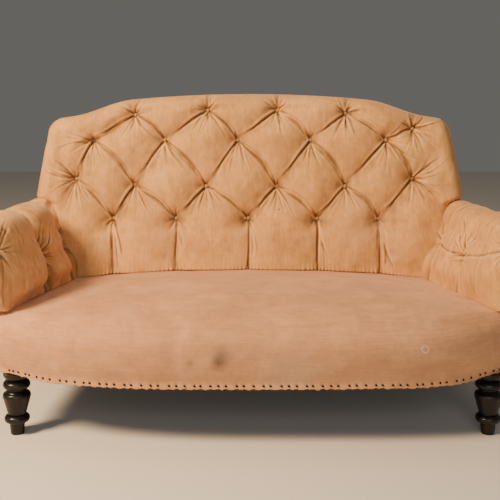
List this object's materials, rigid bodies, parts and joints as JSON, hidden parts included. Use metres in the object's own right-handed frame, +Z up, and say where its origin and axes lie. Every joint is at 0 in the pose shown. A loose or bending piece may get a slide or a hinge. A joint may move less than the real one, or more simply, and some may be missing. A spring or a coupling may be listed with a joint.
{
  "type": "deep-buttoned settee",
  "caption": "Low upholstered settee with a deep-buttoned back, padded roll arms, a tight bow-fronted seat with a tacked edge, turned front legs and raked rear posts.",
  "frame": {"origin": "on the floor, under the middle of the object's box", "axes": "+X to the right seen from the front, +Y to the back, +Z up"},
  "size_m": [1.636, 0.8063, 0.9422],
  "materials": {
    "ebonised_wood": "turned hardwood, stained black and waxed",
    "frame_wood": "sawn beech, unfinished inside the upholstery",
    "jute_and_hessian": "jute webbing, hessian and twine, undyed",
    "spring_wire": "drawn steel wire",
    "blued_tacks": "blued steel tack heads",
    "dust_cloth": "thin black bottom cloth",
    "seat_cloth": "worn cotton velvet, rubbed smooth",
    "back_cloth": "worn cotton velvet in a warmer sand"
  },
  "bodies": {
    "root": {"front_leg_left": "ebonised_wood", "front_leg_right": "ebonised_wood", "corner_block_left": "frame_wood", "corner_block_right": "frame_wood", "front_rail": "frame_wood", "rear_rail": "frame_wood", "side_rail_left": "frame_wood", "side_rail_right": "frame_wood", "seat_stretchers": "frame_wood", "back_post_left": "frame_wood", "back_post_right": "frame_wood", "crest_rail": "frame_wood", "lower_back_rail": "frame_wood", "back_muntins": "frame_wood", "arm_post_left": "frame_wood", "arm_post_right": "frame_wood", "arm_rail_left": "frame_wood", "arm_rail_right": "frame_wood", "arm_tacking_rail_left": "frame_wood", "arm_tacking_rail_right": "frame_wood", "seat_webbing": "jute_and_hessian", "seat_springs": "spring_wire", "spring_lacing": "jute_and_hessian", "seat_canvas": "jute_and_hessian", "edge_roll": "jute_and_hessian", "seat_stuffing": "jute_and_hessian", "seat_cover": "seat_cloth", "front_tacks": "blued_tacks", "bottom_cloth": "dust_cloth", "back_webbing": "jute_and_hessian", "back_canvas": "jute_and_hessian", "inside_back": "back_cloth", "back_buttons": "back_cloth", "back_lining": "jute_and_hessian", "outside_back": "back_cloth", "arm_canvas_left": "jute_and_hessian", "arm_canvas_right": "jute_and_hessian", "inside_arm_left": "back_cloth", "inside_arm_right": "back_cloth", "arm_buttons_left": "back_cloth", "arm_buttons_right": "back_cloth", "outside_arm_left": "back_cloth", "outside_arm_right": "back_cloth"}
  },
  "joints": []
}
